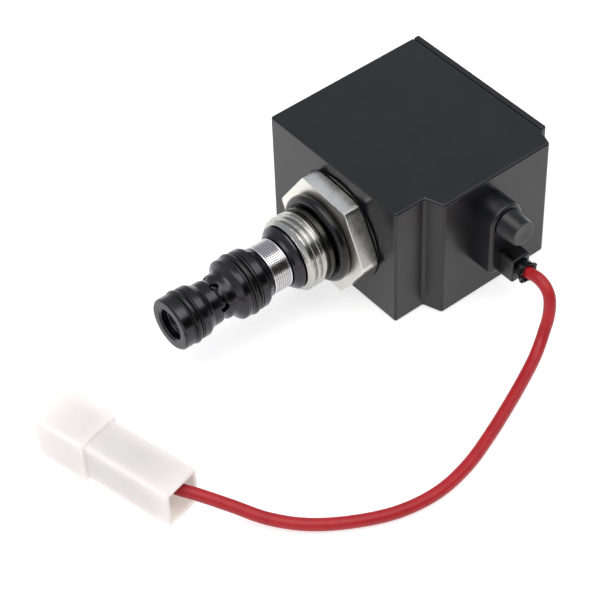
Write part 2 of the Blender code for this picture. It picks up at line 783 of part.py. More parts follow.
def make_screen():
    profile = tube_profile(SCREEN_START, SCREEN_END, SCREEN_R - SCREEN_WALL, SCREEN_R)
    turned("mesh_screen", profile, "stainless", FINE_FACETS)


def make_core():
    """Guide tube, its closed rear end with the stud, the fixed pole and the nut that holds the coil."""
    turned("guide_tube", tube_profile(TUBE_REAR, TUBE_FRONT, TUBE_R - TUBE_WALL, TUBE_R), "stainless", 28)
    plug_front = -42.7 * MM
    plug = [
        (STUD_REAR, 0.0),
        (STUD_REAR, STUD_R - 0.5 * MM),
        (STUD_REAR + 0.5 * MM, STUD_R),
        (TUBE_REAR, STUD_R),
        (TUBE_REAR, CORE_R),
        (plug_front, CORE_R),
        (plug_front, 0.0),
    ]
    turned("tube_end_stud", plug, "zinc_plated", 24)
    pole = [
        (POLE_REAR, 1.9 * MM),
        (POLE_REAR, CORE_R - 0.5 * MM),
        (POLE_REAR + 0.5 * MM, CORE_R),
        (POLE_FRONT, CORE_R),
        (POLE_FRONT, 1.9 * MM),
    ]
    turned("pole_piece", pole, "soft_iron", 24)
    turned(
        "anti_stick_shim",
        tube_profile(POLE_REAR - 0.4 * MM, POLE_REAR - FINE_CLEAR, 2.0 * MM, 4.8 * MM),
        "brass",
        20,
    )
    outline = hexagon(NUT_FLATS, math.pi / 6)
    nut = prism("coil_nut", outline, NUT_REAR, -46.3 * MM, "zinc_plated", "X", AXIS_ORIGIN)
    round_edges(nut, 0.3 * MM, 1)
    stud_hole = turned("nut_hole", plug_profile(-55 * MM, -40 * MM, STUD_R + CLEAR), None, 24)
    seal_recess = turned("nut_recess", plug_profile(-47.4 * MM, -46.0 * MM, 6.3 * MM), None, 24)
    cut(nut, stud_hole, seal_recess)


def make_armature():
    hole_r = PIN_R + 0.2 * MM
    vent = 0.5 * MM
    body = [
        (ARMATURE_REAR, 0.0),
        (ARMATURE_REAR, CORE_R - vent),
        (ARMATURE_REAR + vent, CORE_R),
        (ARMATURE_FRONT - vent, CORE_R),
        (ARMATURE_FRONT, CORE_R - vent),
        (ARMATURE_FRONT, hole_r),
        (PIN_REAR - CLEAR, hole_r),
        (PIN_REAR - CLEAR, 0.0),
    ]
    armature = turned("armature", body, "soft_iron", 24)
    for side in (-1, 1):
        groove = block(
            f"armature_vent_{side}",
            (-50 * MM, -20 * MM),
            (-0.6 * MM, 0.6 * MM),
            tuple(sorted((side * 4.6 * MM, side * 7 * MM))),
            None,
            AXIS_ORIGIN,
        )
        cut(armature, groove)
    pin_front = SPOOL_REAR - CLEAR
    edge = 0.2 * MM
    pin = [
        (PIN_REAR, 0.0),
        (PIN_REAR, PIN_R),
        (pin_front - edge, PIN_R),
        (pin_front, PIN_R - edge),
        (pin_front, 0.0),
    ]
    turned("push_pin", pin, "stainless", 16)


def make_spool():
    """A long rear land with two balance grooves, a waist, the metering land and the spring spigot."""
    waist = 2.1 * MM
    spigot = 1.6 * MM
    grooves = [
        point
        for start in (10.6 * MM, 13.6 * MM)
        for point in (
            (start, SPOOL_R),
            (start, SPOOL_R - 0.4 * MM),
            (start + 0.8 * MM, SPOOL_R - 0.4 * MM),
            (start + 0.8 * MM, SPOOL_R),
        )
    ]
    profile = [
        (SPOOL_REAR, 0.0),
        (SPOOL_REAR, SPOOL_R - 0.4 * MM),
        (SPOOL_REAR + 0.4 * MM, SPOOL_R),
        *grooves,
        (17.0 * MM, SPOOL_R),
        (17.0 * MM, waist),
        (SPOOL_FRONT - METERING_LAND, waist),
        (SPOOL_FRONT - METERING_LAND, SPOOL_R),
        (SPOOL_FRONT, SPOOL_R),
        (SPOOL_FRONT, spigot),
        (38.6 * MM, spigot),
        (38.9 * MM, spigot - 0.3 * MM),
        (38.9 * MM, 0.0),
    ]
    turned("spool", profile, "soft_iron", 24)


def make_spring():
    """Compression spring with closed end turns, its coils worked out from the free length."""
    per_turn = 12
    count = SPRING_TURNS * per_turn
    low = SPRING_START + SPRING_WIRE_R
    high = SPRING_END - SPRING_WIRE_R
    end_pitch = 2 * SPRING_WIRE_R + 0.05 * MM
    free = high - low - 2 * end_pitch
    points = []
    for i in range(count + 1):
        turn = i / per_turn
        if turn <= 1:
            along = low + end_pitch * turn
        elif turn >= SPRING_TURNS - 1:
            along = high - end_pitch * (SPRING_TURNS - turn)
        else:
            along = low + end_pitch + free * (turn - 1) / (SPRING_TURNS - 2)
        angle = 2 * math.pi * turn
        points.append(Vector((along, SPRING_MEAN_R * math.cos(angle), SPRING_MEAN_R * math.sin(angle))))
    tube_along("return_spring", points, SPRING_WIRE_R, "spring_steel", 0, AXIS_ORIGIN)


def make_spring_stop():
    turned("spring_seat", tube_profile(45.3 * MM, 46.3 * MM, 1.6 * MM, SPOOL_R), "stainless", 24)
    profile = tube_profile(46.85 * MM, 47.55 * MM, 2.9 * MM, 4.05 * MM)
    ring = turned("nose_snap_ring", profile, "spring_steel", 28)
    slit = block(
        "snap_ring_slit", (45 * MM, 49 * MM), (1 * MM, 6 * MM), (-0.9 * MM, 0.9 * MM), None, AXIS_ORIGIN
    )
    cut(ring, slit)


clear_scene()
make_housing()
make_rear_cover()
make_coil()
make_lead_parts()
make_lead_wire()
make_connector()
make_hex_adapter()
make_cage()
make_seals()
make_screen()
make_core()
make_armature()
make_spool()
make_spring()
make_spring_stop()
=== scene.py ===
import json
import math

import bmesh
import bpy
from mathutils import Matrix, Vector
from mathutils.geometry import interpolate_bezier

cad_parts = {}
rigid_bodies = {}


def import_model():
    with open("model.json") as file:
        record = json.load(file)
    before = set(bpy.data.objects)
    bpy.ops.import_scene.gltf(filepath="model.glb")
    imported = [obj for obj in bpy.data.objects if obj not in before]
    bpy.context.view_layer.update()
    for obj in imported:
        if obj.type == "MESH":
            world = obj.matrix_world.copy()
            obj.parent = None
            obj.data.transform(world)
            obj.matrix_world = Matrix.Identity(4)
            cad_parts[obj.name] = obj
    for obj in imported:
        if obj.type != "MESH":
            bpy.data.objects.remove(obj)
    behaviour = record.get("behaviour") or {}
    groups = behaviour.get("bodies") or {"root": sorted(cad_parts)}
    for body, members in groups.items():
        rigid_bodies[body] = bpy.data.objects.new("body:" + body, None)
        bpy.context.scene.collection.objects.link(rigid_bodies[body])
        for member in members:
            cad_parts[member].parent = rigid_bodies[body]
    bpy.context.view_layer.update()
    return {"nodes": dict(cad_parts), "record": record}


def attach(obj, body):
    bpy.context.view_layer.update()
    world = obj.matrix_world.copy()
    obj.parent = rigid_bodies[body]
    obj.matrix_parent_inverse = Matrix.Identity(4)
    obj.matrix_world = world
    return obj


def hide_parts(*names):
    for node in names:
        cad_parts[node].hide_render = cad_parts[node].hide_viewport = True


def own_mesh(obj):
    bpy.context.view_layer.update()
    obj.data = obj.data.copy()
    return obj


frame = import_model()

MM = 0.001
DATUM = 23.0  # the housing's front face along X, in millimetres
AXIS_Z = 17.15  # height of the cartridge axis
AXIS = Vector((DATUM, 0.0, AXIS_Z))
TAU = 2 * math.pi
ARC_RADIUS = 8.0  # arcs round the axis are measured at this radius
SCREEN_ARC = 0.775  # the screen's radius over ARC_RADIUS


# ---------------------------------------------------------------- materials


class Shader:
    """A procedural material on the Principled shader, with its texture nodes added one by one."""

    def __init__(self, name, colour, roughness, metallic=0.0, **sockets):
        self.material = bpy.data.materials.new(name)
        self.material.use_nodes = True
        self.tree = self.material.node_tree
        self.shader = self.tree.nodes["Principled BSDF"]
        self.shader.inputs["Base Color"].default_value = (*colour, 1.0)
        self.shader.inputs["Roughness"].default_value = roughness
        self.shader.inputs["Metallic"].default_value = metallic
        for socket, value in sockets.items():
            self.shader.inputs[socket.replace("_", " ")].default_value = value
        self.place = self.tree.nodes.new("ShaderNodeTexCoord").outputs["Object"]
        self.height = None

    def node(self, kind, inputs=(), **settings):
        """Adds a node. Each input is either linked from a socket or set to a value."""
        made = self.tree.nodes.new(kind)
        for key, value in settings.items():
            setattr(made, key, value)
        for key, value in dict(inputs).items():
            if isinstance(value, bpy.types.NodeSocket):
                self.tree.links.new(value, made.inputs[key])
            else:
                made.inputs[key].default_value = value
        return made

    def maths(self, operation, a, b=0.0, c=0.0):
        return self.node("ShaderNodeMath", {0: a, 1: b, 2: c}, operation=operation).outputs[0]

    def scaled(self, x, y, z, source=None):
        inputs = {0: source or self.place, 1: (x, y, z)}
        return self.node("ShaderNodeVectorMath", inputs, operation="MULTIPLY").outputs[0]

    def parts(self):
        """The x, y and z of the place being shaded, in metres."""
        made = self.node("ShaderNodeSeparateXYZ", {0: self.place})
        return made.outputs[0], made.outputs[1], made.outputs[2]

    def round_the_axis(self):
        """Coordinates (x, arc, radius) about the cartridge axis, in metres."""
        x, y, z = self.parts()
        z = self.maths("SUBTRACT", z, AXIS_Z * MM)
        angle = self.maths("ARCTAN2", z, y)
        squares = self.maths("ADD", self.maths("MULTIPLY", y, y), self.maths("MULTIPLY", z, z))
        radius = self.maths("SQRT", squares)
        arc = self.maths("MULTIPLY", angle, ARC_RADIUS * MM)
        return self.node("ShaderNodeCombineXYZ", {0: x, 1: arc, 2: radius}).outputs[0]

    def noise(self, size, detail=3.0, rough=0.5, stretch=(1.0, 1.0, 1.0), source=None):
        """Noise whose features are about size millimetres, longer along the axes with a small stretch."""
        k = 1000.0 / size
        vector = self.scaled(k * stretch[0], k * stretch[1], k * stretch[2], source)
        inputs = {"Vector": vector, "Scale": 1.0, "Detail": detail, "Roughness": rough}
        return self.node("ShaderNodeTexNoise", inputs).outputs["Fac"]

    def span(self, value, low, high, to_low=0.0, to_high=1.0):
        """Carries value from the range low..high to to_low..to_high, and holds it at the ends."""
        inputs = {0: value, 1: low, 2: high, 3: to_low, 4: to_high}
        return self.node("ShaderNodeMapRange", inputs, clamp=True).outputs[0]

    def blend(self, factor, a, b):
        """A colour that goes from a to b with factor."""
        made = self.node("ShaderNodeMix", {"Factor": factor}, data_type="RGBA")
        for key, value in ((6, a), (7, b)):
            if isinstance(value, bpy.types.NodeSocket):
                self.tree.links.new(value, made.inputs[key])
            else:
                made.inputs[key].default_value = (*value, 1.0)
        return made.outputs[2]

    def colour(self, socket):
        self.tree.links.new(socket, self.shader.inputs["Base Color"])

    def roughness(self, socket):
        self.tree.links.new(socket, self.shader.inputs["Roughness"])

    def bump(self, height, strength, distance_mm):
        """Adds a layer of bump on top of the ones before it."""
        inputs = {"Height": height, "Strength": strength, "Distance": distance_mm * MM}
        if self.height is not None:
            inputs["Normal"] = self.height
        self.height = self.node("ShaderNodeBump", inputs).outputs["Normal"]
        self.tree.links.new(self.height, self.shader.inputs["Normal"])


def moulding(name, dark, light, rough_low, rough_high, grain=0.16):
    """Black moulded plastic: fine spark-eroded grain, slow mottling and faint handling marks."""
    s = Shader(name, dark, rough_low, IOR=1.45)
    mottle = s.noise(7.0, 4.0, 0.6)
    s.colour(s.blend(s.span(mottle, 0.35, 0.7), dark, light))
    handled = s.noise(16.0, 3.0, 0.65, (1.0, 0.35, 0.7))
    s.roughness(s.span(handled, 0.3, 0.72, rough_low, rough_high))
    s.bump(s.noise(grain, 2.0, 0.5), 0.16, 0.012)
    s.bump(s.noise(6.0, 2.0, 0.4), 0.10, 0.05)
    return s.material


def rubber(name, tone, rough):
    """Black rubber with a soft moulded skin, dulled in patches by a little dust."""
    s = Shader(name, tone, rough, IOR=1.42)
    dust = s.span(s.noise(1.6, 5.0, 0.7), 0.52, 0.8)
    s.colour(s.blend(dust, tone, tuple(min(1.0, c * 2.4 + 0.006) for c in tone)))
    s.roughness(s.span(s.noise(0.9, 3.0, 0.6), 0.3, 0.7, rough - 0.07, rough + 0.12))
    s.bump(s.noise(0.12, 2.0, 0.6), 0.12, 0.01)
    return s.material


def turned_metal(name, colour, tint, rough, groove=0.12, strength=0.35, streak=0.25):
    """Metal off a lathe: fine rings round the axis, streaks along the cut and a few dull patches."""
    s = Shader(name, colour, rough, 1.0)
    rings = s.round_the_axis()
    cut = s.noise(groove, 2.0, 0.5, (1.0, 0.02, 1.0), rings)
    wide = s.noise(2.4, 3.0, 0.6, (1.0, 0.12, 1.0), rings)
    patch = s.noise(3.0, 4.0, 0.6)
    s.colour(s.blend(s.span(wide, 0.3, 0.72), colour, tint))
    low, high = rough - streak * 0.25, rough + streak * 0.45
    wear = s.maths("ADD", s.maths("MULTIPLY", cut, 0.6), s.maths("MULTIPLY", patch, 0.4))
    s.roughness(s.span(wear, 0.3, 0.7, low, high))
    s.bump(cut, strength, 0.006)
    return s.material


def milled_metal(name, colour, tint, rough, along=(1.0, 0.06, 0.06)):
    """Plated bar stock: fine drawn grain along one direction, a soft plating bloom and tiny pits."""
    s = Shader(name, colour, rough, 1.0)
    grain = s.noise(0.14, 2.0, 0.6, along)
    bloom = s.noise(4.0, 4.0, 0.6)
    s.colour(s.blend(s.span(bloom, 0.3, 0.72), colour, tint))
    wear = s.maths("ADD", s.maths("MULTIPLY", grain, 0.5), s.maths("MULTIPLY", bloom, 0.5))
    s.roughness(s.span(wear, 0.3, 0.7, rough - 0.08, rough + 0.12))
    s.bump(grain, 0.18, 0.006)
    s.bump(s.noise(0.5, 3.0, 0.7), 0.12, 0.012)
    return s.material


def wire_cloth(name, pitch):
    """Plain-weave stainless cloth: wires over and under each other, with small dark openings between."""
    s = Shader(name, (0.60, 0.59, 0.61), 0.28, 1.0)
    x, arc, _ = s.node("ShaderNodeSeparateXYZ", {0: s.round_the_axis()}).outputs
    k = TAU / (pitch * MM)
    warp = s.maths("SINE", s.maths("MULTIPLY", x, k))
    weft = s.maths("SINE", s.maths("MULTIPLY", arc, k * SCREEN_ARC))
    crown = s.maths("ADD", s.maths("MULTIPLY", warp, 0.5), s.maths("MULTIPLY", weft, 0.5))
    opening = s.span(crown, -0.75, 0.05, 1.0, 0.0)
    dull = s.span(s.noise(1.2, 4.0, 0.6), 0.3, 0.72)
    wire = s.blend(dull, (0.50, 0.487, 0.492), (0.62, 0.606, 0.611))
    s.colour(s.blend(opening, wire, (0.07, 0.065, 0.06)))
    s.roughness(s.span(s.noise(0.8, 3.0, 0.6), 0.3, 0.7, 0.15, 0.24))
    s.bump(s.maths("MULTIPLY", warp, weft), 0.25, 0.02)
    return s.material


def insulation(name):
    """Red PVC: drawn lines along the wire, a soft sheen and slight unevenness of colour."""
    s = Shader(name, (0.37, 0.012, 0.017), 0.42, IOR=1.40)
    uneven = s.noise(5.0, 4.0, 0.6)
    s.colour(s.blend(s.span(uneven, 0.3, 0.7), (0.33, 0.009, 0.014), (0.41, 0.015, 0.020)))
    s.roughness(s.span(s.noise(1.4, 3.0, 0.6), 0.3, 0.7, 0.38, 0.52))
    s.bump(s.noise(0.35, 3.0, 0.6), 0.10, 0.02)
    return s.material


def nylon(name, mouth, forward):
    """Natural nylon: milky, a little see-through, with painted shade where the lead and crimp inside show
    through.
    """
    s = Shader(name, (0.87, 0.77, 0.72), 0.42, IOR=1.35, Subsurface_Weight=1.0)
    s.shader.inputs["Subsurface Radius"].default_value = (1.0, 0.95, 0.9)
    s.shader.inputs["Subsurface Scale"].default_value = 6.0 * MM
    offset = s.node("ShaderNodeVectorMath", {0: s.place, 1: tuple(mouth)}, operation="SUBTRACT").outputs[0]
    dot = s.node("ShaderNodeVectorMath", {0: offset, 1: tuple(forward)}, operation="DOT_PRODUCT")
    along = dot.outputs["Value"]
    # Painted shade: a darker, pinker band near the lead's end, standing in for the lead and crimp seen
    # through the nylon.
    shade_in = s.span(along, 2 * MM, 9 * MM)
    shade_out = s.span(along, 12 * MM, 19 * MM, 1.0, 0.0)
    cloud = s.span(s.noise(5.0, 3.0, 0.6), 0.3, 0.7, 0.55, 1.0)
    shade = s.maths("MULTIPLY", s.maths("MULTIPLY", shade_in, shade_out), cloud)
    s.colour(s.blend(s.maths("MULTIPLY", shade, 0.55), (0.87, 0.775, 0.725), (0.80, 0.705, 0.69)))
    s.roughness(s.span(s.noise(3.0, 3.0, 0.6), 0.3, 0.7, 0.32, 0.46))
    s.bump(s.noise(0.5, 2.0, 0.5), 0.08, 0.02)
    return s.material


def wound_copper(name):
    """Enamelled wire laid side by side, its turns seen as fine ridges."""
    s = Shader(name, (0.60, 0.20, 0.075), 0.30, 1.0)
    x, _, _ = s.parts()
    turns = s.maths("SINE", s.maths("MULTIPLY", x, TAU / (0.36 * MM)))
    s.colour(s.blend(s.span(s.noise(2.0), 0.3, 0.7), (0.55, 0.18, 0.065), (0.70, 0.26, 0.11)))
    s.roughness(s.span(turns, -1.0, 1.0, 0.42, 0.24))
    s.bump(turns, 0.8, 0.08)
    return s.material


def polymer(name, colour, tint, rough):
    """A plain moulded or rolled plastic with slow clouding and a faint skin."""
    s = Shader(name, colour, rough, IOR=1.5)
    s.colour(s.blend(s.span(s.noise(4.0, 4.0, 0.6), 0.3, 0.7), colour, tint))
    s.roughness(s.span(s.noise(2.0), 0.3, 0.7, rough - 0.06, rough + 0.08))
    s.bump(s.noise(0.4), 0.1, 0.02)
    return s.material


CONNECTOR_MOUTH = Vector((DATUM + 71.5, 33.5, 0.0))
CONNECTOR_YAW = math.radians(-76.5)
CONNECTOR_FORWARD = Vector((math.cos(CONNECTOR_YAW), math.sin(CONNECTOR_YAW), 0.0))
CONNECTOR_PLACE = Matrix.Translation(CONNECTOR_MOUTH) @ Matrix.Rotation(CONNECTOR_YAW, 4, "Z")

LOOKS = {
    "moulded_black": moulding(
        "moulded_black", (0.0048, 0.0052, 0.0066), (0.0070, 0.0074, 0.0090), 0.26, 0.36
    ),
    "cover_black": moulding(
        "cover_black", (0.0055, 0.0058, 0.0068), (0.0082, 0.0085, 0.0096), 0.28, 0.40, 0.2
    ),
    "rubber_black": rubber("rubber_black", (0.0024, 0.0026, 0.0030), 0.20),
    "backup_black": rubber("backup_black", (0.006, 0.006, 0.0065), 0.30),
    "zinc_plated": milled_metal("zinc_plated", (0.70, 0.70, 0.66), (0.80, 0.795, 0.76), 0.28),
    "black_oxide": turned_metal(
        "black_oxide", (0.040, 0.040, 0.045), (0.056, 0.055, 0.061), 0.22, 0.16, 0.25, 0.16
    ),
    "stainless": turned_metal("stainless", (0.60, 0.59, 0.62), (0.70, 0.69, 0.71), 0.24),
    "soft_iron": turned_metal("soft_iron", (0.36, 0.355, 0.35), (0.46, 0.455, 0.45), 0.38),
    "spring_steel": turned_metal("spring_steel", (0.085, 0.085, 0.088), (0.13, 0.13, 0.133), 0.30),
    "bobbin_nylon": polymer("bobbin_nylon", (0.52, 0.46, 0.34), (0.60, 0.54, 0.42), 0.42),
    "copper": wound_copper("copper"),
    "winding_tape": polymer("winding_tape", (0.62, 0.36, 0.06), (0.72, 0.46, 0.10), 0.30),
    "brass": turned_metal("brass", (0.66, 0.46, 0.17), (0.76, 0.57, 0.25), 0.30),
    "tinned_brass": milled_metal("tinned_brass", (0.62, 0.60, 0.52), (0.72, 0.70, 0.64), 0.34),
    "red_insulation": insulation("red_insulation"),
    "clear_nylon": nylon("clear_nylon", CONNECTOR_MOUTH * MM, CONNECTOR_FORWARD),
}
WOVEN_WIRE = wire_cloth("wire_cloth", pitch=0.56)
THREAD_STEEL = turned_metal("thread_steel", (0.42, 0.42, 0.39), (0.52, 0.52, 0.485), 0.20, 0.10, 0.30, 0.16)
FACED_STEEL = turned_metal("faced_steel", (0.72, 0.715, 0.65), (0.80, 0.79, 0.73), 0.36, 0.12, 0.35)
FACED_OXIDE = turned_metal("faced_oxide", (0.032, 0.032, 0.034), (0.045, 0.045, 0.048), 0.30, 0.12, 0.35)
# Painted shade: a darkened turned steel for the adapter's neck and shoulder, standing in for the shade
# between the thread and the O-ring.
NECK_PAINTED_SHADE = turned_metal("neck_painted_shade", (0.040, 0.040, 0.032), (0.060, 0.060, 0.048), 0.26, 0.12, 0.35)

for node in frame["record"]["subparts"]:
    held = frame["nodes"][node["node"]]
    held.data.materials.clear()
    held.data.materials.append(LOOKS[node["material_slot"]])


# ---------------------------------------------------------------- camera, light and floor


def make_camera():
    """The photo's view: from above, on the side of the nose and the lead."""
    azimuth, elevation, roll = math.radians(142.7066), math.radians(45.813), math.radians(-2.52)
    level = math.cos(elevation)
    back = Vector((math.sin(azimuth) * level, -math.cos(azimuth) * level, math.sin(elevation)))
    right = Vector((math.cos(azimuth), math.sin(azimuth), 0.0))
    up = back.cross(right)
    side = math.cos(roll) * right + math.sin(roll) * up
    top = math.cos(roll) * up - math.sin(roll) * right
    camera = bpy.data.objects.new("camera", bpy.data.cameras.new("camera"))
    camera.data.sensor_width = 36.0
    camera.data.lens = 125.2
    camera.data.clip_start = 0.01
    camera.data.clip_end = 20.0
    turn = Matrix((side, top, back)).transposed().to_4x4()
    camera.matrix_world = Matrix.Translation((0.24310, 0.27258, 0.35299)) @ turn
    bpy.context.scene.collection.objects.link(camera)
    bpy.context.scene.camera = camera


def make_world():
    """A white tent: soft light overhead, a narrower light behind, a dark wall on the lead's side."""
    world = bpy.data.worlds.new("tent")
    bpy.context.scene.world = world
    world.use_nodes = True
    tree = world.node_tree
    out = tree.nodes["Background"]
    direction = tree.nodes.new("ShaderNodeTexCoord").outputs["Generated"]

    def toward(x, y, z, wide, narrow):
        """1 within narrow degrees of a direction, falling to 0 at wide degrees."""
        aim = Vector((x, y, z)).normalized()
        dot = tree.nodes.new("ShaderNodeVectorMath")
        dot.operation = "DOT_PRODUCT"
        tree.links.new(direction, dot.inputs[0])
        dot.inputs[1].default_value = aim
        made = tree.nodes.new("ShaderNodeMapRange")
        made.interpolation_type = "SMOOTHSTEP"
        tree.links.new(dot.outputs["Value"], made.inputs[0])
        made.inputs[1].default_value = math.cos(math.radians(wide))
        made.inputs[2].default_value = math.cos(math.radians(narrow))
        return made.outputs[0]

    def mixed(factor, a, b):
        made = tree.nodes.new("ShaderNodeMix")
        made.data_type = "RGBA"
        tree.links.new(factor, made.inputs["Factor"])
        if isinstance(a, bpy.types.NodeSocket):
            tree.links.new(a, made.inputs[6])
        else:
            made.inputs[6].default_value = (*a, 1.0)
        made.inputs[7].default_value = (*b, 1.0)
        return made.outputs[2]

    tent = mixed(toward(0, 0, 1, 100, 60), (0.80, 0.80, 0.80), (0.54, 0.55, 0.62))
    fill = mixed(toward(0.25, 0.05, 0.97, 36, 18), tent, (3.4, 3.3, 3.2))
    light = mixed(toward(-0.42, 0.34, 0.84, 24, 13), fill, (2.5, 2.5, 2.5))
    wall = mixed(toward(0.05, 0.99, 0.10, 48, 34), light, (0.10, 0.10, 0.10))
    gap = mixed(toward(-0.42, 0.88, 0.20, 37, 29), wall, (0.04, 0.04, 0.036))
    tree.links.new(gap, out.inputs["Color"])
    out.inputs["Strength"].default_value = 1.0


def make_floor():
    """A pale sheet just under the part. It glows a little, so it comes out white as in the photo."""
    mesh = bpy.data.meshes.new("floor")
    half = 3.0
    below = -0.2 * MM
    corners = [(-half, -half, below), (half, -half, below), (half, half, below), (-half, half, below)]
    mesh.from_pydata(corners, [], [(0, 1, 2, 3)])
    floor = bpy.data.objects.new("floor", mesh)
    bpy.context.scene.collection.objects.link(floor)
    s = Shader("floor", (0.55, 0.55, 0.55), 0.8)
    s.shader.inputs["Emission Color"].default_value = (1.0, 1.0, 1.0, 1.0)
    s.shader.inputs["Emission Strength"].default_value = 0.66
    s.shader.inputs["Specular IOR Level"].default_value = 0.1
    mesh.materials.append(s.material)


make_camera()
make_world()
make_floor()
bpy.context.scene.view_settings.view_transform = "Standard"


# ---------------------------------------------------------------- shape helpers, all in millimetres

# Where a piece has more than one look, these are their places in its list of looks.
MAIN_LOOK, END_LOOK, THREAD_LOOK, PAINTED_SHADE_LOOK = 0, 1, 2, 3


def finished(name, bm, body, slot, nodes, looks=None, sharp=35.0, weighted=True):
    """Makes the piece in the shared frame, gives it its finish and lets it stand for its CAD nodes."""
    bmesh.ops.recalc_face_normals(bm, faces=bm.faces)
    if bm.calc_volume(signed=True) < 0:
        bmesh.ops.reverse_faces(bm, faces=bm.faces)
    bmesh.ops.scale(bm, verts=bm.verts, vec=(MM, MM, MM))
    mesh = bpy.data.meshes.new(name)
    bm.to_mesh(mesh)
    bm.free()
    mesh.shade_smooth()
    mesh.set_sharp_from_angle(angle=math.radians(sharp))
    made = bpy.data.objects.new(name, mesh)
    bpy.context.scene.collection.objects.link(made)
    for look in looks or [LOOKS[slot]]:
        mesh.materials.append(look)
    if weighted:
        modifier = made.modifiers.new("normals", "WEIGHTED_NORMAL")
        modifier.keep_sharp = True
    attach(made, body)
    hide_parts(*nodes)
    return made


def softened(profile, radius, steps=3, closed=True):
    """Rounds the corners of a (x, r) outline."""
    points = [Vector(p) for p in profile]
    count = len(points)
    result = []
    for i, corner in enumerate(points):
        if not closed and i in (0, count - 1):
            result.append(corner)
            continue
        before, after = points[i - 1], points[(i + 1) % count]
        a, b = before - corner, after - corner
        if a.length < 1e-6 or b.length < 1e-6:
            continue
        turn = math.pi - a.angle(b)
        if turn < math.radians(12):
            result.append(corner)
            continue
        reach = min(radius * math.tan(turn / 2), 0.45 * a.length, 0.45 * b.length)
        start, end = corner + a.normalized() * reach, corner + b.normalized() * reach
        for k in range(steps + 1):
            t = k / steps
            result.append((1 - t) ** 2 * start + 2 * t * (1 - t) * corner + t * t * end)
    return [(p[0], p[1]) for p in result]


def revolved(bm, profile, segments, centre=AXIS, axis="X", closed=True, sweep=TAU, start=0.0):
    """Adds a lathe surface to bm. A profile that isn't closed runs from radius 0 to radius 0."""
    whole = sweep >= TAU - 1e-9
    count = segments if whole else segments + 1
    rings = []
    for x, r in profile:
        if r < 1e-9:
            rings.append([bm.verts.new(spot(x, 0.0, 0.0, centre, axis))])
        else:
            angles = [start + sweep * i / segments for i in range(count)]
            rings.append([bm.verts.new(spot(x, r, angle, centre, axis)) for angle in angles])
    pairs = list(zip(rings, rings[1:]))
    if closed:
        pairs.append((rings[-1], rings[0]))
    for a, b in pairs:
        for i in range(segments):
            j = (i + 1) % count
            if len(a) == 1 and len(b) == 1:
                continue
            if len(a) == 1:
                bm.faces.new((a[0], b[j], b[i]))
            elif len(b) == 1:
                bm.faces.new((a[i], a[j], b[0]))
            else:
                bm.faces.new((a[i], a[j], b[j], b[i]))
    if not whole and closed:
        bm.faces.new([ring[0] for ring in rings])
        bm.faces.new([ring[-1] for ring in reversed(rings)])


def spot(x, r, angle, centre, axis):
    """The point at x along an axis, r out from it and at an angle round it."""
    if axis == "X":
        return centre + Vector((x, r * math.cos(angle), r * math.sin(angle)))
    return centre + Vector((r * math.cos(angle), x, r * math.sin(angle)))


def turned(name, profile, body, slot, nodes, segments=128, soften=0.12, **rest):
    """A piece turned on the cartridge axis from a (x, r) outline."""
    bm = bmesh.new()
    revolved(bm, softened(profile, soften), segments)
    return finished(name, bm, body, slot, nodes, **rest)


def o_ring(name, x, r, cord, body, node, segments=144):
    """A seal with a round section of radius cord, whose middle is at (x, r)."""
    bm = bmesh.new()
    steps = 24
    angles = [TAU * i / steps for i in range(steps)]
    revolved(bm, [(x + cord * math.cos(a), r + cord * math.sin(a)) for a in angles], segments)
    return finished(name, bm, body, "rubber_black", [node], weighted=False, sharp=80.0)


def extruded(outline, low, high, place):
    """A solid with a flat outline, from low to high. place turns (a, b, depth) into (x, y, z)."""
    bm = bmesh.new()
    verts = [bm.verts.new(place(a, b, low)) for a, b in outline]
    face = bm.faces.new(verts)
    made = bmesh.ops.extrude_face_region(bm, geom=[face])
    moved = [v for v in made["geom"] if isinstance(v, bmesh.types.BMVert)]
    shift = Vector(place(0.0, 0.0, high)) - Vector(place(0.0, 0.0, low))
    bmesh.ops.translate(bm, verts=moved, vec=shift)
    bmesh.ops.recalc_face_normals(bm, faces=bm.faces)
    if bm.calc_volume(signed=True) < 0:
        bmesh.ops.reverse_faces(bm, faces=bm.faces)
    return bm


def rounded(bm, width, segments, angle=30.0):
    """Rounds every edge of bm that is sharper than angle."""
    limit = math.radians(angle)
    edges = [e for e in bm.edges if len(e.link_faces) == 2 and e.calc_face_angle(0.0) > limit]
    bmesh.ops.bevel(
        bm, geom=edges, offset=width, segments=segments, profile=0.5, affect="EDGES", clamp_overlap=True
    )
    return bm


def combined(base, tools):
    """The mesh of base after each (operation, bmesh) tool, worked out exactly."""
    scene = bpy.context.scene.collection.objects
    made = []

    def as_object(bm, label):
        mesh = bpy.data.meshes.new(label)
        bm.to_mesh(mesh)
        bm.free()
        obj = bpy.data.objects.new(label, mesh)
        scene.link(obj)
        made.append(obj)
        return obj

    body = as_object(base, "body")
    for i, (operation, tool) in enumerate(tools):
        modifier = body.modifiers.new(f"step_{i}", "BOOLEAN")
        modifier.operation = operation
        modifier.solver = "EXACT"
        modifier.object = as_object(tool, f"tool_{i}")
    bpy.context.view_layer.update()
    result = bmesh.new()
    result.from_object(body, bpy.context.evaluated_depsgraph_get())
    for obj in made:
        mesh = obj.data
        bpy.data.objects.remove(obj)
        bpy.data.meshes.remove(mesh)
    bmesh.ops.remove_doubles(result, verts=result.verts, dist=1e-4)
    return result


def rod(start, end, radius, segments=32):
    """A round bar between two points. It mostly serves as a drill."""
    bm = bmesh.new()
    start, end = Vector(start), Vector(end)
    reach = (end - start).length
    bmesh.ops.create_cone(
        bm, cap_ends=True, segments=segments, radius1=radius, radius2=radius, depth=reach
    )
    turn = (end - start).to_track_quat("Z", "Y")
    for vert in bm.verts:
        vert.co = turn @ vert.co + (start + end) / 2
    return bm


def boxed(x, y, z):
    """A box, from the low and high value on each axis."""
    outline = [(x[0], y[0]), (x[1], y[0]), (x[1], y[1]), (x[0], y[1])]
    return extruded(outline, z[0], z[1], lambda a, b, c: (a, b, c))


